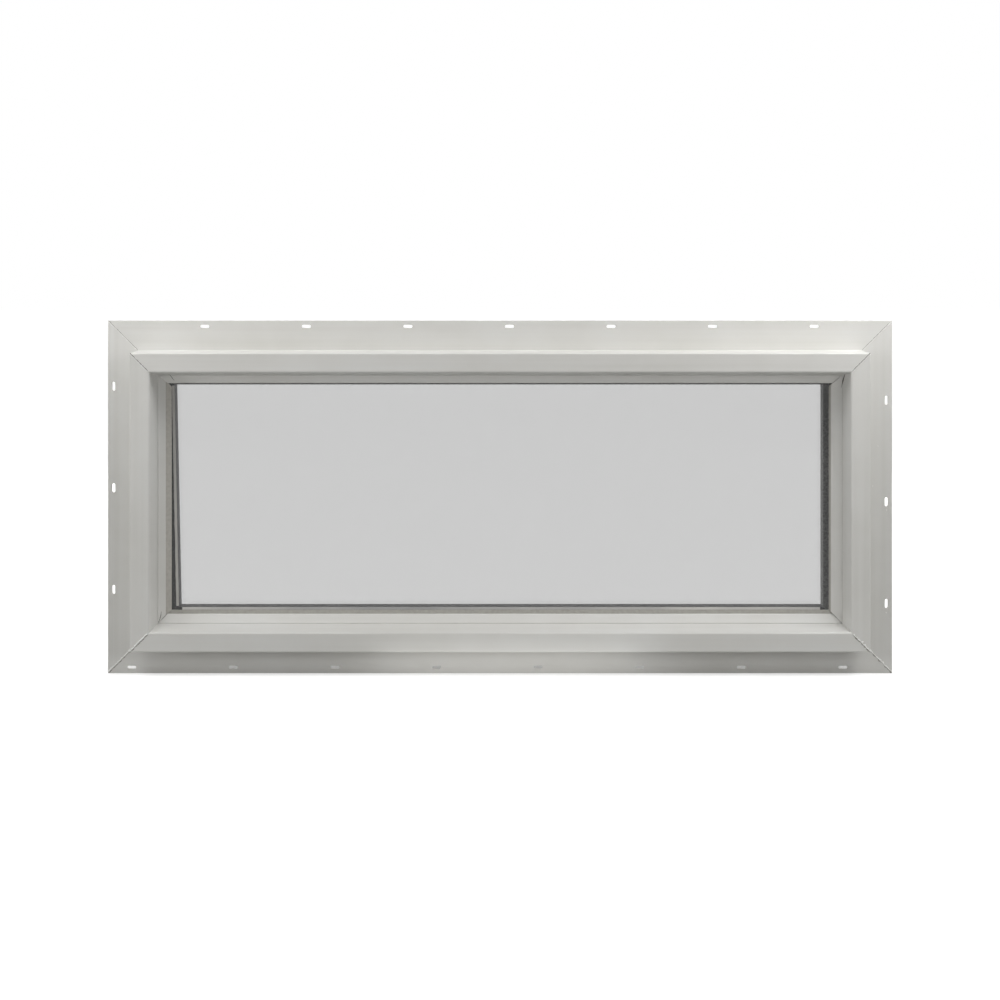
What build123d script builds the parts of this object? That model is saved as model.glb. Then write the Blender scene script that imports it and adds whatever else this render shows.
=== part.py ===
from build123d import *
import os
from math import ceil, floor, hypot, sqrt

os.makedirs("parts", exist_ok=True)

# A fixed transom window in welded white PVC, with a nailing fin all round and a sealed double-glazed unit.
# X runs along the window, +Y points indoors and +Z is up. All lengths are millimetres.
# The origin is on the back face of the bottom fin, in the middle of the window and half way up that fin.

inch = 25.4

# The frame over its outer walls
frame_width = 28.5 * inch
frame_height = 11.5 * inch
frame_depth = 3.25 * inch

# The nailing fin and its punched slots
fin_width = 30.2
fin_thickness = 1.6
fin_setback = 1.375 * inch
slot_pitch = 4 * inch
slot_length = 9.0
slot_width = 3.0
slot_edge_distance = 5.8
fin_edge_radius = 0.3
head_slot_phase = 9.5
sill_slot_phase = 38.1
left_slot_phase = 9.0
right_slot_phase = -5.0

# The frame extrusion
outer_wall = 1.8
inner_web = 1.3
rim_width = 19.0
rim_edge_radius = 1.2
rim_inner_radius = 2.0
fin_root_radius = 0.9
reveal_foot = 23.1
reveal_foot_radius = 0.1
pocket_floor = 18.6
bead_lip_thickness = 1.5
bead_lip_to_glass = 6.4
exterior_web_to_fin = 7.0
stop_reach = 33.0
stop_nose = 2.6
stop_tip_radius = 0.4
stop_nose_radius = 0.8
stop_slope_depth = 14.0
stop_heel = 24.5
stop_heel_radius = 3.0
stop_hollow_setback = 2.7
interior_reveal = 22.6
interior_web_to_back = 16.0
interior_edge_radius = 0.8
groove_from_wall = 8.0
groove_width = 3.4
groove_depth = 7.0

# The glazing unit and what it stands on
glass_thickness = 3.175
air_space = 12.7
glass_proud_of_fin = 7.0
glass_top_clearance = 3.4
glass_side_clearance = 6.4
setting_block_height = 5.4
setting_block_length = 50.0
setting_block_spacing = 340.0
spacer_height = 6.0
seal_depth_top = 11.2
seal_depth_bottom = 13.1
seal_depth_sides = 14.8
left_spacer_drift = 4.5
edge_seal_recess = 0.6

# The tape, bead and gasket that hold the unit
tape_thickness = 1.6
tape_width = 6.4
tape_from_stop_edge = 0.6
bead_wall = 1.3
bead_to_glass = 1.6
bead_clearance = 0.05
bead_heel_height = 1.6
bead_heel_land = 0.6
bead_crest_reach = {"head": 30.4, "sill": 30.2, "left": 28.5, "right": 32.1}
bead_crest_to_glass = 3.4
bead_nose_width = 1.2
bead_nose_height = 0.6
bead_barb_lead = 1.2
bead_barb_height = 2.2
bead_heel_radius = 0.1
bead_land_radius = 0.3
bead_crest_radius = 0.9
bead_edge_radius = 0.3
bead_tip_radius = 0.2
bead_mitre_gap = 0.35
gasket_root_width = 2.5
gasket_lip_width = 1.4
gasket_setback = 0.2
gasket_reach = {"head": 31.9, "sill": 34.9, "left": 35.2, "right": 34.9}

# The ridges that corner welding leaves
weld_width = 1.4
weld_height = 0.45

# Places that follow from the sizes above
window_middle = frame_height / 2 + fin_width / 2
fin_front = -fin_thickness
face = fin_front - fin_setback
back = face + frame_depth
glass_outer = fin_front - glass_proud_of_fin
unit_thickness = 2 * glass_thickness + air_space
glass_inner = glass_outer + unit_thickness
stop_front = glass_inner + tape_thickness
lip_back = glass_outer - bead_lip_to_glass
lip_front = lip_back - bead_lip_thickness
bead_base = glass_outer - bead_to_glass
bottom_glass_edge = pocket_floor + setting_block_height
top_glass_edge = pocket_floor + glass_top_clearance
side_glass_edge = pocket_floor + glass_side_clearance
glass_width = frame_width - 2 * side_glass_edge
glass_height = frame_height - top_glass_edge - bottom_glass_edge
glass_bottom = window_middle - frame_height / 2 + bottom_glass_edge
glass_top = glass_bottom + glass_height


def section(corners, radii=0.0):
    """A closed outline in the section plane, from (depth, distance in from the outer wall) pairs."""
    return Plane.YZ * make_face(FilletPolyline(*corners, radius=radii, close=True))


def mitred(profile, outer_length, gap=0.0):
    """The profile run along X and cut at 45 degrees, half a gap short of where it meets the next side."""
    run = extrude(profile, amount=outer_length / 2 + fin_width, both=True)
    end = (outer_length - gap * sqrt(2)) / 2
    beyond = fin_width + stop_reach
    cutter = Polyline(
        (-end - beyond, -beyond),
        (end + beyond, -beyond),
        (end - beyond, beyond),
        (-end + beyond, beyond),
        close=True,
    )
    return run & extrude(Plane.XZ * make_face(cutter), amount=frame_depth, both=True)


def on_side(piece, side):
    """Turns a piece that was made as the bottom side of the frame to the side it belongs to."""
    turn = {"sill": 0, "left": 90, "head": 180, "right": -90}[side]
    reach = frame_width / 2 if side in ("left", "right") else frame_height / 2
    return Pos(0, 0, window_middle) * Rot(0, turn, 0) * Pos(0, 0, -reach) * piece


def outer_length(side):
    return frame_height if side in ("left", "right") else frame_width


def frame_profile():
    """The whole extrusion: rim, reveal, glazing pocket, indoor stop, nailing fin and closed chambers."""
    groove_end = groove_from_wall + groove_width
    corners = [
        (back, 0, interior_edge_radius),
        (0, 0, 0),
        (0, -fin_width, fin_edge_radius),
        (fin_front, -fin_width, fin_edge_radius),
        (fin_front, 0, fin_root_radius),
        (face, 0, rim_edge_radius),
        (face, rim_width, rim_inner_radius),
        (lip_front, reveal_foot, reveal_foot_radius),
        (lip_back, reveal_foot, 0),
        (lip_back, pocket_floor, 0),
        (stop_front, pocket_floor, 0),
        (stop_front, stop_reach, stop_tip_radius),
        (stop_front + stop_nose, stop_reach, stop_nose_radius),
        (stop_front + stop_slope_depth, stop_heel, stop_heel_radius),
        (back, interior_reveal, interior_edge_radius),
        (back, groove_end, 0),
        (back - groove_depth, groove_end, 0),
        (back - groove_depth, groove_from_wall, 0),
        (back, groove_from_wall, 0),
    ]
    outline = section([c[:2] for c in corners], [c[2] for c in corners])
    for chamber in frame_chambers():
        outline -= section(chamber)
    return outline


def frame_chambers():
    """The hollows of the extrusion, each a wall or a web away from its neighbours."""
    web = inner_web / 2
    front_web = fin_front - exterior_web_to_fin + inner_web
    rear_web = back - interior_web_to_back
    pocket_wall = pocket_floor - outer_wall
    inner_stop = stop_front + outer_wall
    groove_floor = back - groove_depth
    back_wall = back - outer_wall
    reveal_wall = interior_reveal - outer_wall
    rim = [
        (face + outer_wall, outer_wall),
        (face + outer_wall, rim_width - outer_wall),
        (lip_front, reveal_foot - outer_wall),
        (lip_back, pocket_wall),
        (front_web - web, pocket_wall),
        (front_web - web, outer_wall),
    ]
    pocket = [
        (front_web + web, outer_wall),
        (front_web + web, pocket_wall),
        (stop_front, pocket_wall),
        (stop_front, outer_wall),
    ]
    stop = [
        (inner_stop, outer_wall),
        (inner_stop, stop_reach - stop_hollow_setback),
        (stop_front + stop_slope_depth - outer_wall, stop_heel - outer_wall),
        (rear_web - web, stop_heel - outer_wall),
        (rear_web - web, outer_wall),
    ]
    middle = [
        (rear_web + web, outer_wall),
        (rear_web + web, reveal_wall),
        (groove_floor - outer_wall, reveal_wall),
        (groove_floor - outer_wall, outer_wall),
    ]
    beyond_groove = [
        (groove_floor, groove_from_wall + groove_width + outer_wall),
        (groove_floor, reveal_wall),
        (back_wall, reveal_wall),
        (back_wall, groove_from_wall + groove_width + outer_wall),
    ]
    return [rim, pocket, stop, middle, beyond_groove]


def slot_places(side_length, phase):
    """Where the nail slots of one side lie along it, on the shared pitch from that side's own start."""
    reach = side_length / 2 + fin_width - slot_edge_distance - slot_length
    first = ceil((-reach - phase) / slot_pitch)
    last = floor((reach - phase) / slot_pitch)
    return [phase + n * slot_pitch for n in range(first, last + 1)]


def frame_member(side, phase):
    """One welded side of the frame, with its length of nailing fin."""
    member = mitred(frame_profile(), outer_length(side))
    slot = extrude(Plane.XZ * SlotOverall(slot_length, slot_width), amount=2 * fin_thickness, both=True)
    for place in slot_places(outer_length(side), phase):
        member -= Pos(place, 0, slot_edge_distance - fin_width) * slot
    return on_side(member, side)


def bead_profile(side):
    """The snap-in glazing bead, a hollow wedge whose barb hooks behind the frame's lip."""
    crest_reach = bead_crest_reach[side]
    nose_reach = crest_reach + bead_nose_width
    barb = pocket_floor + bead_clearance
    barb_top = lip_back + bead_clearance
    heel = reveal_foot + bead_clearance
    heel_top = lip_back - bead_heel_height
    land_end = heel + bead_heel_land
    crest = glass_outer - bead_crest_to_glass
    outer = section(
        [
            (barb_top, barb),
            (barb_top, heel),
            (heel_top, heel),
            (heel_top, land_end),
            (crest, crest_reach),
            (bead_base - bead_nose_height, nose_reach),
            (bead_base, nose_reach),
            (bead_base, barb + bead_barb_lead),
            (barb_top + bead_barb_height, barb),
        ],
        [
            0,
            0,
            bead_heel_radius,
            bead_land_radius,
            bead_crest_radius,
            bead_edge_radius,
            bead_tip_radius,
            bead_edge_radius,
            bead_edge_radius,
        ],
    )
    slope_rise = crest - heel_top
    slope_run = crest_reach - land_end
    heel_wall = heel + bead_wall
    roof = heel_top + bead_wall * hypot(slope_rise, slope_run) / slope_run
    roof += (heel_wall - land_end) * slope_rise / slope_run
    chamber_floor = bead_base - bead_wall
    chamber_end = heel_wall + (chamber_floor - roof) * slope_run / slope_rise
    foot_wall = barb + bead_barb_lead + bead_wall / 2
    chamber = section(
        [
            (barb_top + bead_wall, foot_wall),
            (barb_top + bead_wall, heel_wall),
            (roof, heel_wall),
            (chamber_floor, chamber_end),
            (chamber_floor, foot_wall),
        ]
    )
    return outer - chamber


def glazing_bead(side):
    return on_side(mitred(bead_profile(side), outer_length(side), bead_mitre_gap), side)


def bead_gasket(side):
    """The soft wedge between the bead's nose and the glass."""
    nose = bead_crest_reach[side] + bead_nose_width - gasket_setback
    lip = gasket_reach[side]
    profile = section(
        [
            (bead_base, nose - gasket_root_width),
            (bead_base, nose),
            (glass_outer, lip),
            (glass_outer, lip - gasket_lip_width),
        ]
    )
    return on_side(mitred(profile, outer_length(side)), side)


def glazing_tape(side):
    """The foam tape that beds the unit on the indoor stop."""
    inner = stop_reach - tape_from_stop_edge
    profile = section(
        [
            (glass_inner, inner - tape_width),
            (glass_inner, inner),
            (stop_front, inner),
            (stop_front, inner - tape_width),
        ]
    )
    return on_side(mitred(profile, outer_length(side)), side)


def glass_lite(front):
    """One sheet of the sealed unit, its outdoor face at the given depth."""
    sheet = Box(glass_width, glass_thickness, glass_height)
    return Pos(0, front + glass_thickness / 2, (glass_bottom + glass_top) / 2) * sheet


def spacer_line(depth):
    """The corners of the spacer's outline at a depth in from the glass edge, its left leg leaning as built."""
    middle = (glass_bottom + glass_top) / 2
    top = glass_top - seal_depth_top + depth
    bottom = glass_bottom + seal_depth_bottom - depth
    side = glass_width / 2 - seal_depth_sides + depth
    lean = left_spacer_drift / (glass_height - seal_depth_top - seal_depth_bottom)

    def left(height):
        return -side + lean * (middle - height)

    return [(left(bottom), bottom), (side, bottom), (side, top), (left(top), top)]


def strip_between(inner, outer, first):
    """The four-sided strip between two outlines along the side that starts at the given corner."""
    second = (first + 1) % 4
    corners = [inner[first], inner[second], outer[second], outer[first]]
    flat = Plane.XZ * make_face(Polyline(*corners, close=True))
    return Pos(0, glass_outer + glass_thickness, 0) * extrude(flat, amount=-air_space)


def spacer_bar(first):
    return strip_between(spacer_line(0), spacer_line(spacer_height), first)


def edge_seal(first):
    """The sealant packed between the spacer and the edge of the glass."""
    side = glass_width / 2 - edge_seal_recess
    bottom = glass_bottom + edge_seal_recess
    top = glass_top - edge_seal_recess
    edge = [(-side, bottom), (side, bottom), (side, top), (-side, top)]
    return strip_between(spacer_line(spacer_height), edge, first)


def setting_block(direction):
    """A hard rubber block under the unit."""
    block = Box(setting_block_length, unit_thickness, setting_block_height)
    height = glass_bottom - setting_block_height / 2
    return Pos(direction * setting_block_spacing / 2, glass_outer + unit_thickness / 2, height) * block


def weld_ridge(start, toward, length):
    """A low rounded ridge lying on a face that looks outdoors."""
    place = Plane(origin=start, x_dir=(0, -1, 0), z_dir=toward)
    crown = ThreePointArc((0, -weld_width / 2), (weld_height, 0), (0, weld_width / 2))
    base = Line((0, weld_width / 2), (0, -weld_width / 2))
    return extrude(place * make_face(crown + base), amount=length)


def corner_weld(across, up):
    """The two ridges of one corner, along the mitre of the fin and of the rim."""
    toward = Vector(across, 0, up) / sqrt(2)
    corner = Vector(across * frame_width / 2, 0, window_middle + up * frame_height / 2)
    fin_start = corner + Vector(0, fin_front, 0) + toward * fin_root_radius * sqrt(2)
    fin_length = (fin_width - fin_root_radius) * sqrt(2) - weld_width
    rim_start = corner + Vector(0, face, 0) - toward * (rim_width - rim_inner_radius) * sqrt(2)
    rim_length = (rim_width - rim_inner_radius - rim_edge_radius) * sqrt(2)
    return [
        weld_ridge(fin_start, toward, fin_length),
        weld_ridge(rim_start, toward, rim_length),
    ]


def all_pieces():
    pieces = {
        "frame_sill": frame_member("sill", sill_slot_phase),
        "frame_head": frame_member("head", -head_slot_phase),
        "frame_jamb_left": frame_member("left", -left_slot_phase),
        "frame_jamb_right": frame_member("right", right_slot_phase),
        "outer_glass": glass_lite(glass_outer),
        "inner_glass": glass_lite(glass_inner - glass_thickness),
        "setting_block_left": setting_block(-1),
        "setting_block_right": setting_block(1),
    }
    for side in ("sill", "head", "left", "right"):
        pieces["glazing_bead_" + side] = glazing_bead(side)
        pieces["bead_gasket_" + side] = bead_gasket(side)
        pieces["glazing_tape_" + side] = glazing_tape(side)
    for first, name in enumerate(("bottom", "right", "top", "left")):
        pieces["spacer_" + name] = spacer_bar(first)
        pieces["edge_sealant_" + name] = edge_seal(first)
    for level, up in (("bottom", -1), ("top", 1)):
        for hand, across in (("left", -1), ("right", 1)):
            pieces["corner_weld_" + level + "_" + hand] = Compound(corner_weld(across, up))
    return pieces


for name, piece in all_pieces().items():
    export_step(piece, "parts/" + name + ".step")
    print(name, round(piece.volume))
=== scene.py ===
import math

import bmesh
import bpy
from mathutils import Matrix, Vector, noise


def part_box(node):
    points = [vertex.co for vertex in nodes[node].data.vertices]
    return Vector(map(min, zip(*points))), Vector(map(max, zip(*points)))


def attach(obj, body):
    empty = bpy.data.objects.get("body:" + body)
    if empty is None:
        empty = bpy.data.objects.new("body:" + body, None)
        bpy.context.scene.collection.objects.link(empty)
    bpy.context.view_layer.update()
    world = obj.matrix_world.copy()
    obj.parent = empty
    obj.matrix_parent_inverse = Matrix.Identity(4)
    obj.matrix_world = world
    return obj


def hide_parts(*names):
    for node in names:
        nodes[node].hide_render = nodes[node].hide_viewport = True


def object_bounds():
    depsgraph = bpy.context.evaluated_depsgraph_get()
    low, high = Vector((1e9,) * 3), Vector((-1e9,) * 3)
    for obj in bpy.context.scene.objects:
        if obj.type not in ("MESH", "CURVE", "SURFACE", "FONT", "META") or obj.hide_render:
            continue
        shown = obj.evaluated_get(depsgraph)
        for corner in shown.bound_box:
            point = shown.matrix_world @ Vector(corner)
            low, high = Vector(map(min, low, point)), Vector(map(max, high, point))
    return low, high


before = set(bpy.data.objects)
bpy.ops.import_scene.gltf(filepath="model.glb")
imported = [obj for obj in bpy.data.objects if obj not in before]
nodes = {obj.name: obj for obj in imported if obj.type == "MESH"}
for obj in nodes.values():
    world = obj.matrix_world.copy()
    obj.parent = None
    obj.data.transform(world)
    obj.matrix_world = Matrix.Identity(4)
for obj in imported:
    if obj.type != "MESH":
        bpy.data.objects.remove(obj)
cadBox = [list(corner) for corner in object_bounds()]
scene = bpy.context.scene
mm = 0.001
finFace = -1.6               # mm, the nail fin's outdoor face; its flat back lies at 0
print("frame loaded,", len(nodes), "nodes")


# Small helpers

def srgb(hexText):
    # an sRGB hex colour as the linear colour that Blender's sockets take
    parts = [int(hexText[i:i + 2], 16) / 255 for i in (1, 3, 5)]
    return [p / 12.92 if p <= 0.04045 else ((p + 0.055) / 1.055) ** 2.4 for p in parts] + [1.0]


def addNode(tree, kind, settings=None, links=None):
    # one node, with its settings (sockets by name or number, else properties) and what is plugged into it
    node = tree.nodes.new("ShaderNode" + kind)
    for key, value in (settings or {}).items():
        if isinstance(key, int) or key in node.inputs:
            node.inputs[key].default_value = value
        else:
            setattr(node, key, value)
    for key, source in (links or {}).items():
        tree.links.new(source, node.inputs[key])
    return node


def newMaterial(name):
    material = bpy.data.materials.new(name)
    material.use_nodes = True
    tree = material.node_tree
    return material, tree, tree.nodes["Principled BSDF"], addNode(tree, "TexCoord").outputs["Object"]


def colourBetween(tree, factor, hexes, stops):
    # a ramp from one sRGB hex colour to the next
    ramp = addNode(tree, "ValToRGB", links={"Fac": factor})
    marks = ramp.color_ramp.elements
    while len(marks) < len(hexes):
        marks.new(0.5)
    for mark, text, stop in zip(marks, hexes, stops):
        mark.position = stop
        mark.color = srgb(text)
    return ramp.outputs["Color"]


def dress(names, material):
    # the CAD node keeps its mesh and gets the finish
    for name in names:
        for place in nodes[name].material_slots:
            place.material = material


def addPiece(name, mesh, material, stands=()):
    piece = bpy.data.objects.new(name, mesh)
    scene.collection.objects.link(piece)
    for one in material if isinstance(material, list) else [material]:
        mesh.materials.append(one)
    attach(piece, "root")
    if stands:
        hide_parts(*stands)
    return piece


def faceAt(x, z):
    # where the window's outdoor side lies at x and z in mm, and which way it faces there
    graph = bpy.context.evaluated_depsgraph_get()
    hit, point, normal, *rest = scene.ray_cast(graph, Vector((x * mm, -1, z * mm)), Vector((0, 1, 0)))
    return point, normal


def finished(mesh, name, material, stands=()):
    # the bmesh as a piece, its faces turned outwards
    bmesh.ops.recalc_face_normals(mesh, faces=mesh.faces)
    data = bpy.data.meshes.new(name)
    mesh.to_mesh(data)
    mesh.free()
    return addPiece(name, data, material, stands)


def joinRings(mesh, rings):
    # a closed skin over cross-sections that all have the same number of points
    count = len(rings[0])
    sides = []
    for before, after in zip(rings, rings[1:]):
        strip = []
        for i in range(count):
            j = (i + 1) % count
            strip.append(mesh.faces.new((before[i], before[j], after[j], after[i])))
        sides.append(strip)
    mesh.faces.new(rings[0][::-1])
    mesh.faces.new(rings[-1])
    return sides


def wander(share, waves, row, seed=0):
    # a smooth uneven value between about -1 and 1, with that many waves over the length of a strip
    return noise.noise(Vector((share * waves, seed, row)))


# The frame and beads: rigid white PVC (uPVC), extruded. The die leaves a satin skin with faint lines along the
# length, and handling leaves it cloudy, so it never looks like one even grey.

pvc = {
    "cloudColours": ["#cecdc8", "#d5d4d0", "#d9d9d6"],
    "cloudStops": [0.32, 0.52, 0.72],
    "cloudSize": 95,         # mm between soft patches
    "cloudDetail": 3,
    "cloudRoughness": 0.55,
    "streakWidth": 6,        # mm across a tone streak, and its length
    "streakLength": 420,
    "streakShare": 0.35,
    "dieLineWidth": 1.6,     # mm; the real ones are 0.2 to 0.5 and wouldn't show at this distance
    "dieLineLength": 600,    # mm
    "dieLineDepth": 0.012,   # mm
    "grainSize": 0.9,        # mm, the skin's fine unevenness
    "grainDepth": 0.006,
    "roughness": (0.34, 0.48),
    "ior": 1.53,
}


def extrudedPvc(name, along):
    # along is the axis the profile was extruded in, X or Z
    material, tree, shader, place = newMaterial(name)
    axis = "XYZ".index(along)

    def lengthwise(across, length):
        scale = [1000 / across] * 3
        scale[axis] = 1000 / length
        return addNode(tree, "Mapping", {"Scale": scale}, {"Vector": place}).outputs["Vector"]

    soft = {"Scale": 1000 / pvc["cloudSize"], "Detail": pvc["cloudDetail"], "Roughness": pvc["cloudRoughness"]}
    clouds = addNode(tree, "TexNoise", soft, {"Vector": place}).outputs["Fac"]
    streakPlace = lengthwise(pvc["streakWidth"], pvc["streakLength"])
    streaks = addNode(tree, "TexNoise", {"Scale": 1, "Detail": 2}, {"Vector": streakPlace}).outputs["Fac"]
    share = {"data_type": "FLOAT", "Factor": pvc["streakShare"]}
    both = addNode(tree, "Mix", share, {2: clouds, 3: streaks}).outputs[0]
    colour = colourBetween(tree, both, pvc["cloudColours"], pvc["cloudStops"])
    tree.links.new(colour, shader.inputs["Base Color"])

    smooth, dull = pvc["roughness"]
    sheen = addNode(tree, "MapRange", {"To Min": smooth, "To Max": dull}, {"Value": streaks})
    tree.links.new(sheen.outputs["Result"], shader.inputs["Roughness"])

    linePlace = lengthwise(pvc["dieLineWidth"], pvc["dieLineLength"])
    lines = addNode(tree, "TexNoise", {"Scale": 1, "Detail": 3}, {"Vector": linePlace}).outputs["Fac"]
    fine = {"Scale": 1000 / pvc["grainSize"], "Detail": 2}
    grain = addNode(tree, "TexNoise", fine, {"Vector": place}).outputs["Fac"]
    lineDepth = {"Strength": 1, "Distance": pvc["dieLineDepth"] * mm}
    grainDepth = {"Strength": 1, "Distance": pvc["grainDepth"] * mm}
    bump = addNode(tree, "Bump", lineDepth, {"Height": lines}).outputs["Normal"]
    bump = addNode(tree, "Bump", grainDepth, {"Height": grain, "Normal": bump}).outputs["Normal"]
    tree.links.new(bump, shader.inputs["Normal"])
    shader.inputs["IOR"].default_value = pvc["ior"]
    return material


pvcAcross = extrudedPvc("pvc_extruded_satin_across", "X")
pvcUpright = extrudedPvc("pvc_extruded_satin_upright", "Z")
dress(["frame_head", "frame_sill", "glazing_bead_head", "glazing_bead_sill"], pvcAcross)
dress(["frame_jamb_left", "frame_jamb_right", "glazing_bead_left", "glazing_bead_right"], pvcUpright)
print("frame and beads dressed")


# The sealed unit: float glass with a faint low-E grey, on a dark warm-edge spacer with black sealant outside it.
# A skin, here and below, is the pattern's size in mm, the roughness and the relief's depth in mm.

unit = {
    "glassColour": "#e1e1e1",
    "glassIor": 1.52,
    "spacerLitAndShadedColours": {
        # painted light and shade: the spacer is one dark foam, and each leg's pair of tones is set to how it is
        # lit and shows through the glass, so the right one reads lightest
        "top": ["#2f302f", "#4c4e4b"],
        "bottom": ["#1e1f1f", "#343634"],
        "left": ["#1f1d1c", "#393736"],
        "right": ["#50524f", "#70726d"],
    },
    "spacerSkin": (2.2, 0.62, 0.05),   # the size is the distance between the desiccant pores
    "sealantColours": ["#0c0d0d", "#191a1a"],
    "sealantSkin": (5, 0.45, 0.2),
}


def floatGlass():
    # float glass, cast on tin: flat and clear. Lamp rays pass straight through it, so that the spacer is lit.
    material, tree, shader, place = newMaterial("float_glass_low_e")
    shader.inputs["Base Color"].default_value = srgb(unit["glassColour"])
    shader.inputs["Transmission Weight"].default_value = 1
    shader.inputs["Roughness"].default_value = 0
    shader.inputs["IOR"].default_value = unit["glassIor"]
    clear = addNode(tree, "BsdfTransparent", {"Color": srgb(unit["glassColour"])}).outputs[0]
    shadow = addNode(tree, "LightPath").outputs["Is Shadow Ray"]
    mix = addNode(tree, "MixShader", links={0: shadow, 1: shader.outputs[0], 2: clear})
    tree.links.new(mix.outputs[0], tree.nodes["Material Output"].inputs["Surface"])
    return material


def finePlain(name, colours, skin, kind="TexNoise"):
    # a matte compound: two close tones in a fine pattern, with its own small relief
    size, roughness, depth = skin
    material, tree, shader, place = newMaterial(name)
    pattern = addNode(tree, kind, {"Scale": 1000 / size}, {"Vector": place})
    height = pattern.outputs["Fac" if kind == "TexNoise" else "Distance"]
    tree.links.new(colourBetween(tree, height, colours, [0.3, 0.7]), shader.inputs["Base Color"])
    bump = addNode(tree, "Bump", {"Strength": 1, "Distance": depth * mm}, {"Height": height})
    tree.links.new(bump.outputs["Normal"], shader.inputs["Normal"])
    shader.inputs["Roughness"].default_value = roughness
    shader.inputs["IOR"].default_value = 1.5   # what rubbers, sealants and soft PVC lie close to
    return material


glass = floatGlass()
sealant = finePlain("polysulphide_sealant_gunned", unit["sealantColours"], unit["sealantSkin"])
dress(["outer_glass", "inner_glass"], glass)
for side, colours in unit["spacerLitAndShadedColours"].items():
    # painted light and shade: each leg gets its own copy of the foam, in its own pair of tones
    foam = finePlain("warm_edge_spacer_foam_" + side, colours, unit["spacerSkin"], kind="TexVoronoi")
    dress(["spacer_" + side], foam)
dress(["edge_sealant_" + side for side in ("top", "bottom", "left", "right")], sealant)
print("sealed unit dressed")


# What beds the unit: a soft flexible-PVC lip outside, closed-cell foam tape inside, rubber blocks below

bedding = {
    "lipLitAndShadedColours": {
        # painted light and shade: the lip is one soft PVC, and each side's pair of tones is set to how it is lit:
        # the left lip reads lightest, the right one darkest
        "head": ["#9f9d96", "#acaaa3"],
        "sill": ["#9b9992", "#a8a69f"],
        "left": ["#b1aea7", "#bebbb4"],
        "right": ["#98968f", "#a5a39c"],
    },
    "lipSkin": (3, 0.55, 0.02),
    "tapeColours": ["#d8d8d4", "#e6e6e3"],
    "tapeSkin": (0.8, 0.85, 0.08),
    "blockColours": ["#1b1b1a", "#262625"],
    "blockSkin": (1.5, 0.7, 0.03),
}

tape = finePlain("pe_foam_tape_closed_cell", bedding["tapeColours"], bedding["tapeSkin"], kind="TexVoronoi")
block = finePlain("epdm_block_moulded", bedding["blockColours"], bedding["blockSkin"])
for side, colours in bedding["lipLitAndShadedColours"].items():
    # painted light and shade: each side gets its own copy of the lip finish, in its own pair of tones
    lip = finePlain("flexible_pvc_lip_coextruded_" + side, colours, bedding["lipSkin"])
    dress(["bead_gasket_" + side], lip)
dress(["glazing_tape_" + side for side in ("head", "sill", "left", "right")], tape)
dress(["setting_block_left", "setting_block_right"], block)
print("bedding dressed")


# The corner welds: PVC melted and squeezed out, knifed down to a rough low ridge, painted lighter on its crown as
# a painted highlight, with a strip of painted shade and seam dirt along one side

weld = {
    # painted highlight: the knifed flash's crown is painted lighter than the frame, for the light it catches
    "flashAndHighlightColours": ["#e6e5e1", "#fafaf8"],
    "crownSkin": (2, 0.5, 0.05),
    # painted shade: the dark strip lies on the ridge's shaded side, each corner's tones set by how much shade
    # falls there, with the seam's dirt
    "shadeAndDirtColours": {
        "deep": ["#615f59", "#7b7972"],
        "dark": ["#7d7b74", "#98968f"],
        "faint": ["#9a9892", "#b0aea8"],
    },
    "shadeAndDirtSkin": (1.5, 0.8, 0.02),
    "shadeAndDirtWidth": 0.7,        # mm
    "shadeAndDirtLift": 0.03,        # mm that the strip of painted shade and dirt stands proud of the face
    "height": 0.3,           # mm, the crown's
    "letIn": 0.15,           # mm that a ridge reaches into what it lies on
    "finLength": 41,         # mm of ridge on the fin, and on the rim's face
    "rimLength": 24.4,
    "step": 0.6,             # mm between cross-sections
    "corners": [
        # level, hand, crown width in mm, roughness, side the painted shade and dirt lie on, seed, shade and dirt
        # on the fin, shade and dirt on the rim
        ("top", "left", 0.5, 0.6, 1, 1, "faint", "deep"),
        ("top", "right", 0.6, 0.6, -1, 2, "faint", "deep"),
        ("bottom", "left", 1.3, 0.8, -1, 3, "dark", "dark"),
        ("bottom", "right", 1.3, 1.5, 1, 4, "dark", "dark"),
    ],
}

weldFlashAndHighlight = finePlain("pvc_weld_flash_knifed_painted_highlight", weld["flashAndHighlightColours"], weld["crownSkin"])
weldShadeAndDirt = {}
for tone, colours in weld["shadeAndDirtColours"].items():
    weldShadeAndDirt[tone] = finePlain("pvc_weld_seam_dirt_and_painted_shade_" + tone, colours, weld["shadeAndDirtSkin"])


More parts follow.
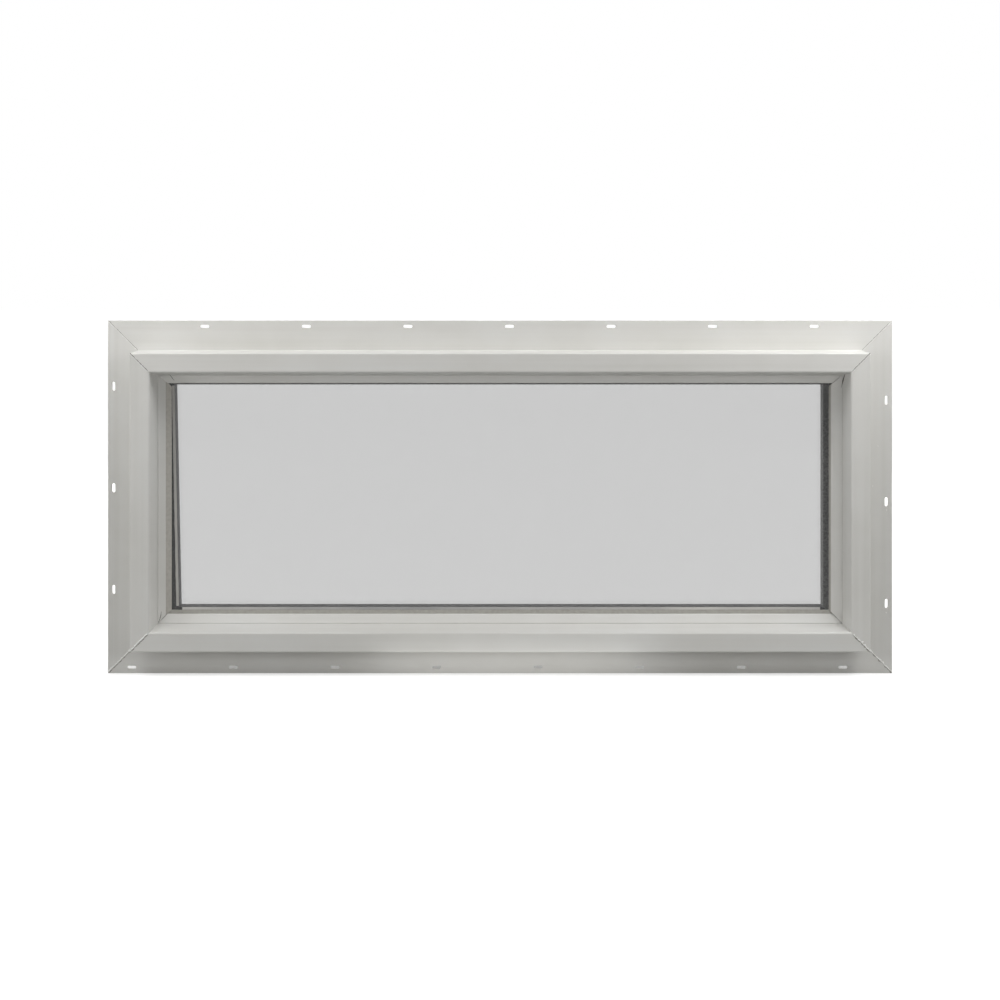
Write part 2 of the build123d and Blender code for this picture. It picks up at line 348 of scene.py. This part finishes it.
def ridgeAlong(mesh, start, end, crownWidth, roughness, shadeAndDirtSide, seed, shadeAndDirtSlot):
    # a closed strip on an outdoor face, from start to end, uneven in width and height
    run = end - start
    count = int(run.length / (weld["step"] * mm))
    across = run.normalized().cross(Vector((0, -1, 0))) * shadeAndDirtSide
    deep = -weld["letIn"]
    proud = weld["shadeAndDirtLift"]
    rings = []
    for i in range(count + 1):
        share = i / count
        lump = roughness * wander(share, 17, 0.3, seed)
        drift = roughness * 0.3 * wander(share, 11, 7.1, seed)
        ends = min(1, 0.3 + 12 * min(share, 1 - share))
        shadeDirtWidth = weld["shadeAndDirtWidth"] * max(0.35, 1 + 1.2 * roughness * wander(share, 14, 3.7, seed))
        crown = crownWidth * max(0.4, 1 + lump)
        lift = weld["height"] * max(0.2, 1 + lump) * ends
        # the section, across and up in mm: the flat strip of painted shade and dirt, then the rounded crown
        outline = [(-shadeDirtWidth, deep), (-shadeDirtWidth, proud), (0, proud), (0.12, lift * 0.8), (crown * 0.4, lift),
                   (crown * 0.75, lift * 0.55), (crown, 0.01), (crown, deep)]
        ring = []
        for side, height in outline:
            point = start + run * share + across * (side + drift) * mm + Vector((0, -height * mm, 0))
            ring.append(mesh.verts.new([min(max(p, low), high) for p, low, high in zip(point, *cadBox)]))
        rings.append(ring)
    for sides in joinRings(mesh, rings):
        sides[1].material_index = shadeAndDirtSlot
        for side in sides[2:6]:
            side.smooth = True


def weldPiece(level, hand, crownWidth, roughness, shadeAndDirtSide, seed, finShadeAndDirt, rimShadeAndDirt):
    name = "corner_weld_" + level + "_" + hand
    low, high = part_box(name)
    face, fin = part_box("frame_sill")[0].y, finFace * mm
    up = 1 if level == "top" else -1
    across = 1 if hand == "right" else -1
    # the CAD ridges run from the fin's outer corner to the wall, then over the rim's face
    outer = Vector((low.x if across < 0 else high.x, fin, low.z if up < 0 else high.z))
    inner = Vector((high.x if across < 0 else low.x, face, high.z if up < 0 else low.z))
    diagonal = Vector((-across, 0, -up)).normalized()
    finEnd = outer + diagonal * (weld["finLength"] * mm)
    rimStart = inner - diagonal * (weld["rimLength"] * mm)
    mesh = bmesh.new()
    ridgeAlong(mesh, outer, finEnd, crownWidth, roughness, shadeAndDirtSide, seed, 1)
    ridgeAlong(mesh, rimStart, inner, crownWidth, roughness, shadeAndDirtSide, seed + 3, 2)
    finishes = [weldFlashAndHighlight, weldShadeAndDirt[finShadeAndDirt], weldShadeAndDirt[rimShadeAndDirt]]
    finished(mesh, "weld_flash_" + level + "_" + hand, finishes, [name])


for corner in weld["corners"]:
    weldPiece(*corner)
print("corner welds made")


# Small marks: painted shade in strips where the beads gape a little at three corners, burrs that the punch left
# beside the right fin's slots, and painted highlight in light strips along the bottom and left spacers

marks = {
    # painted shade: dark strips laid proud of the face stand for the shade inside the gaps, with dust in them
    "paintedGapShadeColours": ["#55534d", "#6f6d66"],
    "gapSkin": (2, 0.9, 0.02),
    "gapWidth": 0.5,         # mm
    "gapSteps": 6,           # cross-sections from one point of a path to the next
    "gapLift": 0.08,         # mm that the strip stands proud, and reaches in
    "gapLetIn": 0.1,
    "gaps": [
        # the path of each over the face, as x and z in mm
        [(-327.2, 285.0), (-325.6, 282.7), (-324.4, 280.4), (-323.3, 278.6)],
        [(340.0, 285.6), (339.5, 281.5), (338.9, 276.4), (337.7, 271.4)],
        [(-335.8, 49.8), (-336.3, 45.6), (-337.2, 41.8), (-338.4, 39.4)],
    ],
    "burrColours": ["#e9e8e4", "#f6f5f2"],
    "burrSkin": (1, 0.5, 0.04),
    "burrLump": 0.5,         # mm between the lumps on a burr
    # each burr's x and z, and its size in mm
    "burrs": [(386.6, 148.0, 1.1), (386.2, 45.4, 1.2), (378.0, 212.0, 0.8), (372.7, 172.0, 0.8)],
    # painted highlight: light strips along these spacers' inner edges stand for the glint and reflection that
    # light makes there
    "highlightStripSides": {
        # the side's spacer: two tones and the strip's width in mm
        "bottom": (["#a3a3a4", "#efece6"], 3.6),
        "left": (["#a9a7a1", "#bdbbb4"], 2.7),
    },
    "highlightStripSkin": (120, 0.6, 0.02),   # the size is the distance along the spacer from one tone to the next
    "highlightStripSteps": 80,
    "highlightStripLift": 0.012,      # mm that the strip stands proud of the spacer, and reaches in
    "butylLetIn": 0.05,
    "highlightStripOverlap": 0.1,     # mm between the spacer's edge and where the strip starts
}

gapShade = finePlain("shadow_gap_dust", marks["paintedGapShadeColours"], marks["gapSkin"])
burrWhite = finePlain("pvc_punch_burr", marks["burrColours"], marks["burrSkin"])


def gapAlong(mesh, path, seed):
    # a thin closed strip let into the face along the path, narrowing to its ends
    steps = marks["gapSteps"]
    points = []
    for (x0, z0), (x1, z1) in zip(path, path[1:]):
        for i in range(steps):
            points.append(Vector((x0 + (x1 - x0) * i / steps, z0 + (z1 - z0) * i / steps)))
    points.append(Vector(path[-1]))
    rings = []
    for i, point in enumerate(points):
        before, after = points[max(i - 1, 0)], points[min(i + 1, len(points) - 1)]
        along = (after - before).normalized()
        across = Vector((-along.y, along.x))
        share = i / (len(points) - 1)
        taper = 0.25 + 0.75 * math.sin(math.pi * share)
        half = marks["gapWidth"] / 2 * taper * (1 + 0.3 * wander(i, 0.5, 0, seed))
        ring = []
        for side, lift in ((-half, -marks["gapLetIn"]), (-half, marks["gapLift"]),
                           (half, marks["gapLift"]), (half, -marks["gapLetIn"])):
            place, normal = faceAt(*(point + across * side))
            ring.append(mesh.verts.new(place + normal * lift * mm))
        rings.append(ring)
    joinRings(mesh, rings)


for number, path in enumerate(marks["gaps"], 1):
    mesh = bmesh.new()
    gapAlong(mesh, path, number)
    finished(mesh, "bead_gap_painted_shade_" + str(number), gapShade)


def burrAt(mesh, x, z, size):
    # a flattened lump on the face, a little taller than wide
    place, normal = faceAt(x, z)
    lump = bmesh.ops.create_icosphere(mesh, subdivisions=2, radius=size * mm / 2)
    for vertex in lump["verts"]:
        spot = vertex.co * (1000 / marks["burrLump"]) + Vector((x, z, 0))
        uneven = 1 + 0.35 * noise.noise(spot)
        vertex.co = Vector((vertex.co.x * uneven, vertex.co.y * 0.35, vertex.co.z * uneven * 1.3)) + place


mesh = bmesh.new()
for burr in marks["burrs"]:
    burrAt(mesh, *burr)
finished(mesh, "slot_burrs_right", burrWhite)


def highlightStripLine(side, colours, width):
    # painted highlight: a light strip that shows through the outer glass, laid flat along the spacer's inner
    # edge, for the glint and reflection there
    spacerBar = nodes["spacer_" + side]
    corners = [spacerBar.matrix_world @ vertex.co for vertex in spacerBar.data.vertices]
    front = min(corner.y for corner in corners)
    upright = side == "left"
    inward = Vector((1, 0, 0)) if upright else Vector((0, 0, 1))
    along = Vector((0, 0, 1)) if upright else Vector((1, 0, 0))
    onFront = [corner for corner in corners if corner.y < front + 0.1 * mm]
    middle = sum((corner for corner in onFront), Vector()) / len(onFront)
    ends = []
    for way in (-1, 1):
        half = [corner for corner in onFront if (corner - middle).dot(along) * way > 0]
        ends.append(max(half, key=lambda corner: corner.dot(inward)))
    run = ends[1] - ends[0]
    count = marks["highlightStripSteps"]
    near, proud, deep = marks["highlightStripOverlap"] * mm, marks["highlightStripLift"], -marks["butylLetIn"]
    mesh = bmesh.new()
    rings = []
    for i in range(count + 1):
        share = 0.005 + 0.99 * i / count
        edge = ends[0] + run * share
        wide = width * (1 + 0.12 * wander(share, 23, 2.2)) * mm
        ring = []
        for reach, lift in ((near, proud), (wide, proud), (wide, deep), (near, deep)):
            ring.append(mesh.verts.new(edge - inward * reach - Vector((0, lift * mm, 0))))
        rings.append(ring)
    joinRings(mesh, rings)
    material = finePlain("painted_highlight_strip_" + side, colours, marks["highlightStripSkin"])
    finished(mesh, "painted_highlight_line_" + side, material)


for side, (colours, width) in marks["highlightStripSides"].items():
    highlightStripLine(side, colours, width)
print("marks made")


# Camera: level, square to the window and above its head, as the photograph was taken

view = {
    "distance": 1490,        # mm from the fin's front face
    "aside": -5.5,
    "height": 408,
    "widthSeen": 1000,       # mm across the picture in the fin's plane
    "sensor": 36,
    "shift": (0.0055, -0.25),
}

cameraData = bpy.data.cameras.new("camera")
camera = bpy.data.objects.new("camera", cameraData)
scene.collection.objects.link(camera)
scene.camera = camera
cameraData.sensor_width = view["sensor"]
cameraData.lens = view["sensor"] * view["distance"] / view["widthSeen"]
cameraData.shift_x, cameraData.shift_y = view["shift"]
camera.location = (view["aside"] * mm, (finFace - view["distance"]) * mm, view["height"] * mm)
camera.rotation_euler = (math.radians(90), 0, 0)
scene.view_settings.view_transform = "Standard"


# Studio: pale floor, white surround and soft lamps

studio = {
    "floorHalf": 9,          # metres from the middle to an edge
    "floorColour": "#b4b4b2",
    "floorRoughness": 0.9,
    # the glow is added for the camera and gloss only: the floor reaches white and its shadow stays
    "floorGlow": 0.97,
    # painted shade: mm over which that glow sinks by ambient occlusion where the floor is shut in, a painted
    # contact shadow before the window, and behind and under it
    "contactReach": (18, 70),
    "surround": 0.01,        # what the surround gives as light
    "lamps": [
        # name, place, aim, width, height, watts
        ("overTheHead", (0.0, -0.16, 0.85), (0, 0, 0.2), 0.9, 0.2, 1.35),
        ("overForward", (0.0, -0.3, 0.85), (0, 0, 0.2), 0.9, 0.2, 0.8),
        ("overRight", (0.55, -0.2, 0.7), (0.3, 0, 0.25), 0.3, 0.3, 2.55),
        ("overLeft", (-0.55, -0.2, 0.7), (-0.3, 0, 0.25), 0.3, 0.3, 1.75),
        ("frontRight", (1.05, -1.5, 0.66), (0, 0, 0.16), 0.5, 0.4, 5.4),
        ("frontLeft", (-1.05, -1.5, 0.66), (0, 0, 0.16), 0.5, 0.4, 3.5),
        ("lowLeft", (-1.1, -0.5, 0.1), (0, 0, 0.2), 0.3, 0.3, 1.5),
        ("lowCentre", (0.01, -0.06, -0.008), (0.01, 0, 0.0), 0.26, 0.01, 0.024),
        ("indoorLeft", (-0.8, 1.3, 0.45), (0, 0, 0.16), 0.8, 0.6, 10.0),
        ("indoorRight", (0.9, 1.2, 0.42), (0, 0, 0.16), 0.8, 0.6, 9.0),
    ],
}


def floorPaper():
    material, tree, shader, place = newMaterial("studio_floor_paper")
    shader.inputs["Base Color"].default_value = srgb(studio["floorColour"])
    shader.inputs["Roughness"].default_value = studio["floorRoughness"]
    rays = addNode(tree, "LightPath").outputs
    direct = {0: rays["Is Camera Ray"], 1: rays["Is Glossy Ray"]}
    seen = addNode(tree, "Math", {"operation": "MAXIMUM"}, direct).outputs[0]
    # painted shade: ambient occlusion darkens the glow, a short painted contact shadow before the fin and a
    # deeper one behind and under the frame
    near, under = [addNode(tree, "AmbientOcclusion", {"Distance": reach * mm, "samples": 8}).outputs["AO"]
                   for reach in studio["contactReach"]]
    depth = addNode(tree, "SeparateXYZ", links={0: place}).outputs["Y"]
    finDepth = {"From Min": finFace * mm, "From Max": 0}
    behind = addNode(tree, "MapRange", finDepth, {"Value": depth}).outputs["Result"]
    openness = addNode(tree, "Mix", {"data_type": "FLOAT"}, {0: behind, 2: near, 3: under}).outputs[0]
    glow = addNode(tree, "Math", {"operation": "MULTIPLY"}, {0: seen, 1: openness}).outputs[0]
    glow = addNode(tree, "Math", {"operation": "MULTIPLY", 1: studio["floorGlow"]}, {0: glow}).outputs[0]
    shader.inputs["Emission Color"].default_value = (1, 1, 1, 1)
    tree.links.new(glow, shader.inputs["Emission Strength"])
    # through the glass the floor is plain white, the same from near to far
    white = addNode(tree, "Emission", {"Color": (1, 1, 1, 1), "Strength": 1}).outputs[0]
    mix = addNode(tree, "MixShader", links={0: rays["Is Transmission Ray"], 1: shader.outputs[0], 2: white})
    tree.links.new(mix.outputs[0], tree.nodes["Material Output"].inputs["Surface"])
    return material


def makeFloor():
    mesh = bpy.data.meshes.new("floor")
    half = studio["floorHalf"]
    level = cadBox[0][2]
    corners = [(x, y, level) for x, y in ((-half, -half), (half, -half), (half, half), (-half, half))]
    mesh.from_pydata(corners, [], [(0, 1, 2, 3)])
    mesh.materials.append(floorPaper())
    floor = bpy.data.objects.new("floor", mesh)
    scene.collection.objects.link(floor)


def makeSurround():
    # white wherever it is seen directly, in gloss or through the glass, and nearly dark as a light
    world = bpy.data.worlds.new("surround")
    scene.world = world
    world.use_nodes = True
    tree = world.node_tree
    ground = tree.nodes["Background"]
    ground.inputs["Color"].default_value = (1, 1, 1, 1)
    rays = addNode(tree, "LightPath").outputs
    direct = {0: rays["Is Camera Ray"], 1: rays["Is Transmission Ray"]}
    seen = addNode(tree, "Math", {"operation": "MAXIMUM"}, direct).outputs[0]
    seen = addNode(tree, "Math", {"operation": "MAXIMUM"}, {0: seen, 1: rays["Is Glossy Ray"]}).outputs[0]
    strength = addNode(tree, "MapRange", {"To Min": studio["surround"], "To Max": 1.0}, {"Value": seen})
    tree.links.new(strength.outputs["Result"], ground.inputs["Strength"])


def makeLamps():
    for name, place, aim, width, height, watts in studio["lamps"]:
        data = bpy.data.lights.new(name, "AREA")
        data.shape = "RECTANGLE"
        data.size = width
        data.size_y = height
        data.energy = watts
        lamp = bpy.data.objects.new(name, data)
        scene.collection.objects.link(lamp)
        lamp.location = place
        lamp.rotation_euler = (Vector(aim) - Vector(place)).to_track_quat("-Z", "Y").to_euler()
        lamp.visible_camera = False
        lamp.visible_glossy = False
        lamp.visible_transmission = False


makeFloor()
makeSurround()
makeLamps()
print("camera, stage and lamps set")
